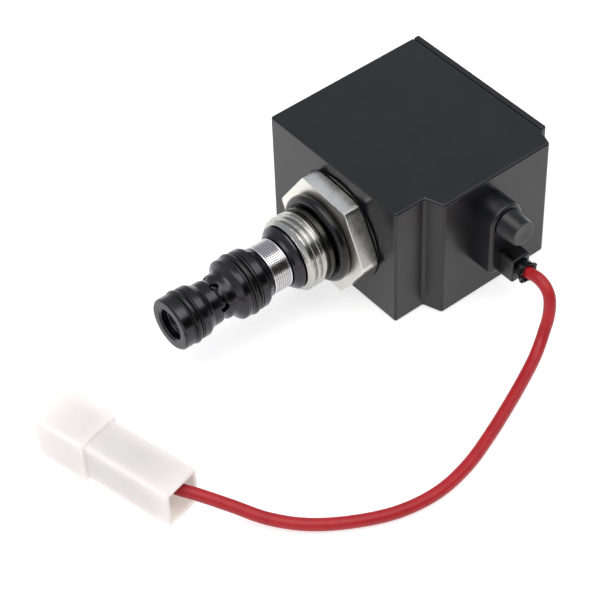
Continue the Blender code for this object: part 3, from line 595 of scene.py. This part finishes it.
def swept(bm, points, radius, sides):
    """Adds a round bar along points, carried without twist."""
    last = len(points) - 1
    tangents = [(points[min(i + 1, last)] - points[max(i - 1, 0)]).normalized() for i in range(last + 1)]
    across = tangents[0].orthogonal().normalized()
    rings = []
    for p, t in zip(points, tangents):
        across = (across - t * across.dot(t)).normalized()
        other = t.cross(across)
        ring = []
        for k in range(sides):
            a = TAU * k / sides
            ring.append(bm.verts.new(p + radius * (math.cos(a) * across + math.sin(a) * other)))
        rings.append(ring)
    bridged(bm, rings)
    bm.faces.new(rings[0])
    bm.faces.new(list(reversed(rings[-1])))


def ringed(bm, x, radii, turn=0.0):
    """One ring of vertices round the cartridge axis, evenly spaced, with a radius for each."""
    angles = [TAU * i / len(radii) + turn for i in range(len(radii))]
    return [bm.verts.new(spot(x, r, angle, AXIS, "X")) for angle, r in zip(angles, radii)]


def bridged(bm, rings, look=MAIN_LOOK):
    """Joins each ring to the next by a band of quads."""
    for a, b in zip(rings, rings[1:]):
        for i in range(len(a)):
            j = (i + 1) % len(a)
            bm.faces.new((a[i], a[j], b[j], b[i])).material_index = look


# ---------------------------------------------------------------- lead wire and its connector

LEAD_X, LEAD_Z, LEAD_START_Y = -24.4, 14.1, 36.5
TERMINAL_Z = 6.6
LEAD_ROUTE = [
    (LEAD_X, LEAD_START_Y, LEAD_Z),
    (LEAD_X, 38.8, 14.5),
    (LEAD_X, 41.2, 14.8),
    (-24.3, 43.5, 14.2),
    (-24.0, 45.3, 12.6),
    (-23.3, 46.4, 10.3),
    (-22.3, 47.1, 7.8),
    (-20.9, 47.6, 5.4),
    (-18.9, 48.5, 3.3),
    (-15.8, 50.0, 1.9),
    (-11.6, 52.0, 1.5),
    (-4.2, 55.4, 1.5),
    (7.1, 60.1, 1.5),
    (17.5, 63.6, 1.5),
    (27.4, 64.9, 1.5),
    (37.2, 63.3, 1.5),
    (46.3, 59.0, 1.5),
    (53.9, 53.5, 1.6),
    (59.7, 47.3, 2.4),
    (64.2, 40.9, 4.2),
    (68.3, 35.4, 5.9),
    (71.4, 30.8, TERMINAL_Z),
    (73.2, 25.8, TERMINAL_Z),
    (74.5, 20.4, TERMINAL_Z),
]
WIRE_R = 1.45


def smooth_route(route, steps):
    """Points on a smooth curve through every knot of route, with steps between each two knots."""
    knots = [Vector(p) for p in route]
    slopes = [(b - a) / 2 for a, b in zip(knots, knots[2:])]
    slopes = [knots[1] - knots[0], *slopes, knots[-1] - knots[-2]]
    points = [knots[0]]
    for i in range(len(knots) - 1):
        a = knots[i] + slopes[i] / 3
        b = knots[i + 1] - slopes[i + 1] / 3
        points += interpolate_bezier(knots[i], a, b, knots[i + 1], steps + 1)[1:]
    return points


def make_wire():
    """The red lead. Returns it with the place where it leaves the sleeve and its length, in metres."""
    points = [(p + Vector((DATUM, 0, 0))) * MM for p in smooth_route(LEAD_ROUTE, 6)]
    curve = bpy.data.curves.new("red_lead", "CURVE")
    curve.dimensions = "3D"
    spline = curve.splines.new("POLY")
    spline.points.add(len(points) - 1)
    for target, p in zip(spline.points, points):
        target.co = (*p, 1.0)
    curve.bevel_depth = WIRE_R * MM
    curve.bevel_resolution = 9
    curve.use_fill_caps = True
    curve.materials.append(LOOKS["red_insulation"])
    wire = bpy.data.objects.new("red_lead", curve)
    bpy.context.scene.collection.objects.link(wire)
    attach(wire, "coil")
    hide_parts("lead_wire")
    length = sum((b - a).length for a, b in zip(points, points[1:]))
    return wire, points[0], length


def make_connector():
    """Nylon shell: a slim body, a wider hood at the mouth, both hollow, with soft moulded edges."""
    length, hood, wall, lift = 37.2, 14.0, 1.2, 0.3
    half, half_hood, high, high_hood = 5.0, 5.8, 11.0, 11.6
    start = length - hood
    body = rounded(boxed((0.0, start + 1.0), (-half, half), (lift, high)), 0.75, 4)
    mouth = rounded(boxed((start, length), (-half_hood, half_hood), (0.0, high_hood)), 0.75, 4)
    inner = half - wall
    bore = rounded(boxed((-2.0, length + 2.0), (-inner, inner), (lift + wall, high - wall)), 0.5, 3)
    inner = half_hood - wall
    socket = rounded(boxed((start + 2.0, length + 3.0), (-inner, inner), (wall, high_hood - wall)), 0.6, 3)
    funnel = rounded(boxed((-2.0, 0.6), (-half + 0.75, half - 0.75), (lift + 0.75, high - 0.75)), 0.3, 2)
    steps = [("UNION", mouth), ("DIFFERENCE", bore), ("DIFFERENCE", socket), ("DIFFERENCE", funnel)]
    bm = combined(body, steps)
    bmesh.ops.transform(bm, matrix=CONNECTOR_PLACE, verts=bm.verts)
    return finished("nylon_connector", bm, "coil", "clear_nylon", ["connector_shell"])


def make_terminal():
    """Crimp terminal: a folded receptacle, a waist, and two pairs of wings closed on the wire."""
    half, tall, sheet = 2.2, 1.5, 0.45
    inner, low, high = half - sheet, TERMINAL_Z - tall, TERMINAL_Z + tall
    receptacle = boxed((20.4, 31.0), (-half, half), (low, high))
    hollow = boxed((21.0, 33.0), (-inner, inner), (low + sheet, high - sheet))
    waist = rounded(boxed((17.4, 20.8), (-1.6, 1.6), (low, low + 0.5)), 0.1, 1)
    steps = [("DIFFERENCE", hollow), ("UNION", waist)]
    for x0, x1 in ((13.8, 15.6), (16.0, 18.0)):
        wing = rod((x0, 0, TERMINAL_Z), (x1, 0, TERMINAL_Z), 1.5, 20)
        steps.append(("UNION", rounded(wing, 0.12, 1)))
    result = combined(receptacle, steps)
    bmesh.ops.transform(result, matrix=CONNECTOR_PLACE, verts=result.verts)
    return finished("crimped_terminal", result, "coil", "tinned_brass", ["crimp_terminal"])


wire, wire_exit, wire_length = make_wire()
connector = make_connector()
terminal = make_terminal()


# ---------------------------------------------------------------- coil housing

HOUSING_LENGTH, HOUSING_HEIGHT = 46.0, 34.3
BACK_Y, FLANGE_Y, BULGE_Y = -24.75, 19.85, 24.6
TUBE_BORE_R = 6.95
BOSS_X, BOSS_HALF, BOSS_ROUND_Z, BOSS_BOTTOM_Z, BOSS_FACE_Y = -24.1, 4.7, 25.1, 11.0, 30.7


def make_housing():
    """The moulded case: a stepped block with a round-headed boss, a lead block and a hollow for the coil."""
    rear = DATUM - HOUSING_LENGTH + 1.72
    plan = [
        (DATUM, BACK_Y),
        (DATUM, FLANGE_Y),
        (DATUM - 8.5, FLANGE_Y),
        (DATUM - 10.2, BULGE_Y),
        (rear + 1.7, BULGE_Y),
        (rear, FLANGE_Y),
        (rear, BACK_Y),
    ]
    base = rounded(extruded(plan, 0.0, HOUSING_HEIGHT, lambda a, b, c: (a, b, c)), 0.65, 4)
    steps = 40
    angles = [math.pi * i / steps for i in range(steps + 1)]
    top = [
        (DATUM + BOSS_X + BOSS_HALF * math.cos(a), BOSS_ROUND_Z + BOSS_HALF * math.sin(a))
        for a in angles
    ]
    left, right = DATUM + BOSS_X - BOSS_HALF, DATUM + BOSS_X + BOSS_HALF
    outline = [(left, BOSS_BOTTOM_Z), (right, BOSS_BOTTOM_Z), *top]
    boss = rounded(extruded(outline, BULGE_Y - 2, BOSS_FACE_Y, lambda a, b, c: (a, c, b)), 0.85, 5)
    low, high = DATUM + LEAD_X - 2.7, DATUM + LEAD_X + 2.7
    block_top = 17.4
    block = rounded(boxed((low, high), (BULGE_Y - 2, 35.6), (10.7, block_top)), 0.5, 3)
    half = 14.9
    cavity = boxed((rear - 1, DATUM - 6.1), (-half, half), (AXIS_Z - half, AXIS_Z + half))
    bore = rod((DATUM - 10, 0, AXIS_Z), (DATUM + 2, 0, AXIS_Z), TUBE_BORE_R, 64)
    pocket = boxed((DATUM - 33, DATUM - 6.1), (10, 18.2), (9, 29))
    lead = (DATUM + LEAD_X, LEAD_Z)
    passage = rod((lead[0], 15, lead[1]), (lead[0], 40, lead[1]), 2.0, 32)
    grommet = rod((lead[0], 30, lead[1]), (lead[0], 40, lead[1]), 2.3, 40)
    plug = rod((DATUM + BOSS_X, 26, BOSS_ROUND_Z), (DATUM + BOSS_X, 34, BOSS_ROUND_Z), 2.1, 32)
    cuts = [("DIFFERENCE", t) for t in (cavity, pocket, bore, passage, grommet, plug)]
    bm = combined(base, [("UNION", boss), ("UNION", block), *cuts])
    for face in bm.faces:
        middle = face.calc_center_median()
        if middle.y > BOSS_FACE_Y + 0.1 and middle.z < block_top + 0.2:
            face.material_index = END_LOOK
    looks = [LOOKS["moulded_black"], LOOKS["rubber_black"]]
    return finished("coil_case", bm, "coil", "moulded_black", ["coil_housing"], looks, sharp=32.0)


def make_cover():
    """The rear plate, with a turned groove round the nut and four shallow screw holes."""
    front, rear = DATUM - 44.3, DATUM - HOUSING_LENGTH
    outline = [(BACK_Y, 0.0), (FLANGE_Y, 0.0), (FLANGE_Y, HOUSING_HEIGHT), (BACK_Y, HOUSING_HEIGHT)]
    plate = rounded(extruded(outline, rear, front, lambda a, b, c: (c, a, b)), 0.5, 3)
    ring_out = rod((rear - 2, 0, AXIS_Z), (rear + 0.35, 0, AXIS_Z), 11.6, 96)
    ring_in = rod((rear - 3, 0, AXIS_Z), (rear + 1, 0, AXIS_Z), 10.9, 96)
    groove = combined(ring_out, [("DIFFERENCE", ring_in)])
    bore = rod((rear - 4, 0, AXIS_Z), (front + 4, 0, AXIS_Z), TUBE_BORE_R, 64)
    cuts = [("DIFFERENCE", groove), ("DIFFERENCE", bore)]
    inset = 3.15
    for y in (BACK_Y + inset, FLANGE_Y - inset):
        for z in (3.4, HOUSING_HEIGHT - 3.4):
            cuts.append(("DIFFERENCE", rod((rear - 2, y, z), (rear + 0.4, y, z), 1.5, 32)))
    bm = combined(plate, cuts)
    return finished("rear_cover_plate", bm, "coil", "cover_black", ["rear_cover"], sharp=32.0)


def make_plug():
    """The stub in the boss's head: tapered, with a soft rim and a shallow dished end."""
    profile = [
        (27.0, 0.0),
        (27.0, 1.8),
        (30.85, 1.8),
        (30.85, 3.8),
        (31.3, 3.74),
        (35.9, 3.2),
        (35.9, 2.5),
        (35.78, 1.2),
        (35.76, 0.0),
    ]
    bm = bmesh.new()
    centre = Vector((DATUM + BOSS_X, 0.0, BOSS_ROUND_Z))
    revolved(bm, softened(profile, 0.25, 4, closed=False), 96, centre, "Y", closed=False)
    return finished("port_plug", bm, "coil", "moulded_black", ["lead_port_plug"])


def make_grommet():
    """Rubber sleeve on the lead. Its lip is flared and a little torn."""
    bore, stem, body = 1.65, 2.1, 2.45
    shank = [(31.4, bore), (31.4, stem), (35.75, stem), (35.75, body), (36.9, body)]
    lip = [(37.5, 2.55), (38.3, 2.95), (38.25, 2.45), (37.2, 1.7)]
    bm = bmesh.new()
    centre = Vector((DATUM + LEAD_X, 0.0, LEAD_Z))
    revolved(bm, softened(shank + lip, 0.12), 96, centre, "Y")
    for vert in bm.verts:
        out = vert.co - centre
        angle = math.atan2(out.z, out.x)
        reach = max(0.0, (out.y - 36.9) / 1.4)
        waves = ((0.30, 3, 0.9), (0.17, 7, 2.1), (0.10, 13, 0.0))
        ragged = sum(size * math.sin(count * angle + shift) for size, count, shift in waves)
        pull = min(0.0, 0.8 * ragged - 0.28) * reach
        grow = 1.0 + min(0.0, 0.10 * math.sin(2 * angle + 2.4) - 0.05) * reach
        vert.co = Vector((centre.x + out.x * grow, out.y + pull, centre.z + out.z * grow))
    return finished("lead_sleeve", bm, "coil", "rubber_black", ["lead_grommet"], sharp=60.0)


make_housing()
make_cover()
make_plug()
make_grommet()


# ---------------------------------------------------------------- hex adapter and its thread


def hex_radius(angle, flats, turn):
    """Distance from the axis to the hexagon's side in one direction."""
    local = (angle - turn + math.pi / 6) % (math.pi / 3) - math.pi / 6
    return flats / 2 / math.cos(math.pi / 6 - abs(local))


def hexed(bm, flats, x0, x1, turn, bore, chamfer_rear, chamfer_front, angles=180):
    """A hexagon with its corners turned off at each end, over a round bore."""
    corner, soft, worn = flats / math.sqrt(3), 0.12, 0.14
    slope_rear, slope_front = 3.2, 1.9
    shares = (0.0, 0.06, 0.2, 0.4, 0.7, 1.0)
    stations = [(x0 + chamfer_rear * t, corner - chamfer_rear * (1 - t) * slope_rear) for t in shares]
    stations.append((x0 + (x1 - x0) * 0.5, corner + 1))
    for t in reversed(shares):
        stations.append((x1 - chamfer_front * t, corner - chamfer_front * (1 - t) * slope_front))
    sides = [hex_radius(TAU * i / angles + turn, flats, turn) for i in range(angles)]
    rings = []
    for x, limit in stations:
        rounding = max(0.0, soft - min(x - x0, x1 - x))
        rings.append(ringed(bm, x, [min(side, limit, corner - worn) - rounding for side in sides], turn))
    bores = [ringed(bm, x, [bore] * angles, turn) for x in (x1, x0)]
    bridged(bm, rings)
    bridged(bm, [rings[-1], bores[0]], END_LOOK)
    bridged(bm, bores)
    bridged(bm, [bores[1], rings[0]], END_LOOK)


THREAD_START, THREAD_END, PITCH, CREST_R, ROOT_R = 10.65, 16.2, 25.4 / 16, 9.27, 8.38


def thread_depth(x, turns, pitch, crest, flank):
    """0 on a thread's crest and 1 at its root. crest and flank are shares of half a pitch."""
    phase = (x / pitch - turns) % 1.0
    return min(1.0, max(0.0, (abs(phase - 0.5) * 2 - crest) / flank))


def thread_radius(x, turns):
    """Radius of the adapter's thread: straight flanks, flat crests, rounded roots, a start chamfer."""
    depth = thread_depth(x, turns, PITCH, 0.16, 0.70)
    roundness, tip, slope, runout = 0.35, 8.3, 0.95, 0.5
    smooth = depth * depth * (3 - 2 * depth) * roundness + depth * (1 - roundness)
    r = CREST_R - (CREST_R - ROOT_R) * smooth
    r = ROOT_R + (r - ROOT_R) * min(1.0, max(0.0, (x - THREAD_START) / runout))
    return min(r, tip + max(0.0, THREAD_END - x) * slope)


def make_adapter():
    """Hex head, a neck and shoulder coloured dark as painted shade, and a screw thread with a real helix."""
    bm = bmesh.new()
    hexed(bm, 26.0, 0.6, 5.3, math.radians(-4.0), 7.7, 0.5, 0.16)
    neck = [(2.6, 7.2), (2.6, 8.1), (8.7, 8.1), (8.7, 9.15), (10.0, 9.15), (10.0, 8.4)]
    neck += [(THREAD_START, 8.4), (THREAD_START, 7.2)]
    head_faces = len(bm.faces)
    steps, around, bore = 120, 144, 7.1
    revolved(bm, softened(neck, 0.12), around)
    bm.faces.ensure_lookup_table()
    # Painted shade: the neck and shoulder take the dark steel that stands in for shade.
    for face in bm.faces[head_faces:]:
        face.material_index = PAINTED_SHADE_LOOK
    start = THREAD_START - 0.2
    rings = []
    for k in range(steps + 1):
        x = start + (THREAD_END - start) * k / steps
        rings.append(ringed(bm, x, [thread_radius(x, i / around) for i in range(around)]))
    for x in (THREAD_END, start):
        rings.append(ringed(bm, x, [bore] * around))
    bridged(bm, rings + rings[:1], THREAD_LOOK)
    looks = [LOOKS["zinc_plated"], FACED_STEEL, THREAD_STEEL, NECK_PAINTED_SHADE]
    return finished("threaded_adapter", bm, "cartridge", "zinc_plated", ["hex_adapter"], looks, sharp=24.0)


make_adapter()
o_ring("large_o_ring", 6.75, 9.8, 1.3, "cartridge", "seat_o_ring", 160)
seal_section = [(0.15, 11.4), (0.15, 14.1), (0.45, 14.1), (0.45, 11.4)]
turned("housing_seal", seal_section, "cartridge", "rubber_black", ["coil_seal_ring"], 128, 0.1)


# ---------------------------------------------------------------- cage, screen and seals

SCREEN_START, SCREEN_END, SCREEN_R = 18.9, 23.85, 6.18
PORTS, PORT_TURN = 6, math.radians(17.0)


def make_cage():
    """The ported sleeve, with its collar, lands, seal grooves and drilled ports. Its nose face is bare."""
    neck, land, nose = 5.5, 7.42, 6.4
    outer = [
        (6.9, 6.4), (7.3, 6.8), (16.5, 6.8), (16.5, 8.0), (16.9, 7.8), (17.9, 6.8), (18.6, 6.4), (18.6, neck),
        (24.1, neck), (24.1, 6.1), (24.7, 6.35), (25.8, 7.15), (26.3, land), (28.0, land), (28.0, 5.9),
        (31.3, 5.9), (31.3, land), (32.5, land), (32.8, 7.2), (33.9, 5.85), (34.5, neck),
        (35.8, neck), (36.6, 5.02), (37.2, 4.97), (38.1, 5.38), (40.3, 5.4), (40.8, 5.6), (41.5, 6.05),
        (42.2, nose), (43.9, nose), (43.9, 4.9), (46.7, 4.9), (46.7, nose), (48.9, nose), (49.3, nose - 0.4),
    ]
    inner = [(49.3, 4.15), (48.8, 3.7), (47.7, 3.7), (47.7, 4.2), (46.7, 4.2), (46.7, 3.7), (6.9, 3.7)]
    bm = bmesh.new()
    revolved(bm, softened(outer + inner, 0.10), 120)
    drills = []
    for i in range(PORTS):
        angle = PORT_TURN + TAU * i / PORTS
        out = Vector((0, math.cos(angle), math.sin(angle)))
        for x, r in ((37.3, 1.15), (21.3, 1.3)):
            base = AXIS + Vector((x, 0, 0))
            drills.append(("DIFFERENCE", rod(base + out * 1.5, base + out * 9, r, 28)))
    solid = combined(bm, drills)
    end = DATUM + 49.2
    for face in solid.faces:
        if face.calc_center_median().x > end and abs(face.normal.x) > 0.9:
            face.material_index = END_LOOK
    looks = [LOOKS["black_oxide"], FACED_OXIDE]
    return finished("ported_cage", solid, "cartridge", "black_oxide", ["valve_cage"], looks, sharp=28.0)


def make_screen():
    """Filter screen: fine wire cloth rolled into a sleeve, with a plain rim band at each end."""
    bm = bmesh.new()
    start, end, inner, outer = SCREEN_START + 0.3, SCREEN_END - 0.3, SCREEN_R - 0.28, SCREEN_R - 0.06
    cloth = [(start, inner), (start, outer), (end, outer), (end, inner)]
    revolved(bm, cloth, 144)
    cloth_faces = len(bm.faces)
    for x0, x1 in ((SCREEN_START, SCREEN_START + 0.45), (SCREEN_END - 0.45, SCREEN_END)):
        band = softened([(x0, SCREEN_R - 0.3), (x0, SCREEN_R), (x1, SCREEN_R), (x1, SCREEN_R - 0.3)], 0.12)
        revolved(bm, band, 144)
    bm.faces.ensure_lookup_table()
    for face in bm.faces[cloth_faces:]:
        face.material_index = END_LOOK
    looks = [WOVEN_WIRE, LOOKS["stainless"]]
    return finished("woven_screen", bm, "cartridge", "stainless", ["mesh_screen"], looks, sharp=50.0)


make_cage()
make_screen()
o_ring("rear_land_o_ring", 29.65, 6.95, 0.78, "cartridge", "rear_o_ring")
o_ring("nose_o_ring", 45.3, 5.93, 0.76, "cartridge", "front_o_ring")
for name, low, high, inner, outer in (
    ("rear_backup_ring_inner", 28.12, 28.7, 6.05, 7.37),
    ("rear_backup_ring_outer", 30.58, 31.18, 6.05, 7.37),
    ("front_backup_ring_inner", 44.0, 44.42, 5.05, 6.35),
    ("front_backup_ring_outer", 46.18, 46.6, 5.05, 6.35),
):
    profile = [(low, inner), (low, outer), (high, outer), (high, inner)]
    turned(name + "_cut", profile, "cartridge", "backup_black", [name], 120, 0.1)


# ---------------------------------------------------------------- nose, nut and moving parts


def make_snap_ring():
    """Split ring in the nose's bore, with a gap."""
    bm = bmesh.new()
    profile = softened([(46.85, 2.9), (46.85, 4.05), (47.55, 4.05), (47.55, 2.9)], 0.12)
    gap = math.radians(26)
    revolved(bm, profile, 96, sweep=TAU - gap, start=gap / 2)
    return finished("retaining_ring", bm, "cartridge", "spring_steel", ["nose_snap_ring"])


def make_nut():
    """Hexagon nut behind the coil, with its corners turned off at both ends."""
    bm = bmesh.new()
    hexed(bm, 17.0, -49.9, -46.3, math.pi / 6, 4.3, 0.45, 0.3, 120)
    looks = [LOOKS["zinc_plated"], FACED_STEEL]
    return finished("chamfered_nut", bm, "cartridge", "zinc_plated", ["coil_nut"], looks, sharp=24.0)


def make_stud():
    """Closed end of the tube: a shoulder inside it and a screwed stud behind."""
    bm = bmesh.new()
    steps, around, pitch = 54, 72, 1.0
    start, end, crest, root, tip, slope = -51.0, -45.7, 4.0, 3.55, 3.4, 1.2
    rings = []
    for k in range(steps + 1):
        x = start + (end - start) * k / steps
        depths = [thread_depth(x, i / around, pitch, 0.15, 0.7) for i in range(around)]
        limit = tip + (x - start) * slope
        rings.append(ringed(bm, x, [min(crest - (crest - root) * depth, limit) for depth in depths]))
    for x, r in ((-45.6, 3.5), (-45.6, 5.4), (-45.5, 5.5), (-42.8, 5.5), (-42.7, 5.4)):
        rings.append(ringed(bm, x, [r] * around))
    bridged(bm, rings)
    bm.faces.new(rings[0])
    bm.faces.new(rings[-1])
    looks = [THREAD_STEEL]
    return finished("threaded_stud", bm, "cartridge", "zinc_plated", ["tube_end_stud"], looks, sharp=30.0)


def make_spring():
    """Compression spring with closed and ground end turns."""
    low, high, turns, wire, mean = 36.3, 44.9, 6, 0.35, 2.8
    start, stop = low + wire, high - wire
    end_pitch = 2 * wire + 0.05
    free = stop - start - 2 * end_pitch
    points = []
    per_turn = 40
    for i in range(turns * per_turn + 1):
        turn = i / per_turn
        if turn <= 1:
            x = start + end_pitch * turn
        elif turn >= turns - 1:
            x = stop - end_pitch * (turns - turn)
        else:
            x = start + end_pitch + free * (turn - 1) / (turns - 2)
        angle = TAU * turn
        points.append(AXIS + Vector((x, mean * math.cos(angle), mean * math.sin(angle))))
    bm = bmesh.new()
    swept(bm, points, wire, 12)
    nodes = ["return_spring"]
    spring = finished("coil_spring", bm, "cartridge", "spring_steel", nodes, sharp=60.0, weighted=False)
    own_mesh(spring)


make_snap_ring()
make_nut()
make_stud()
make_spring()
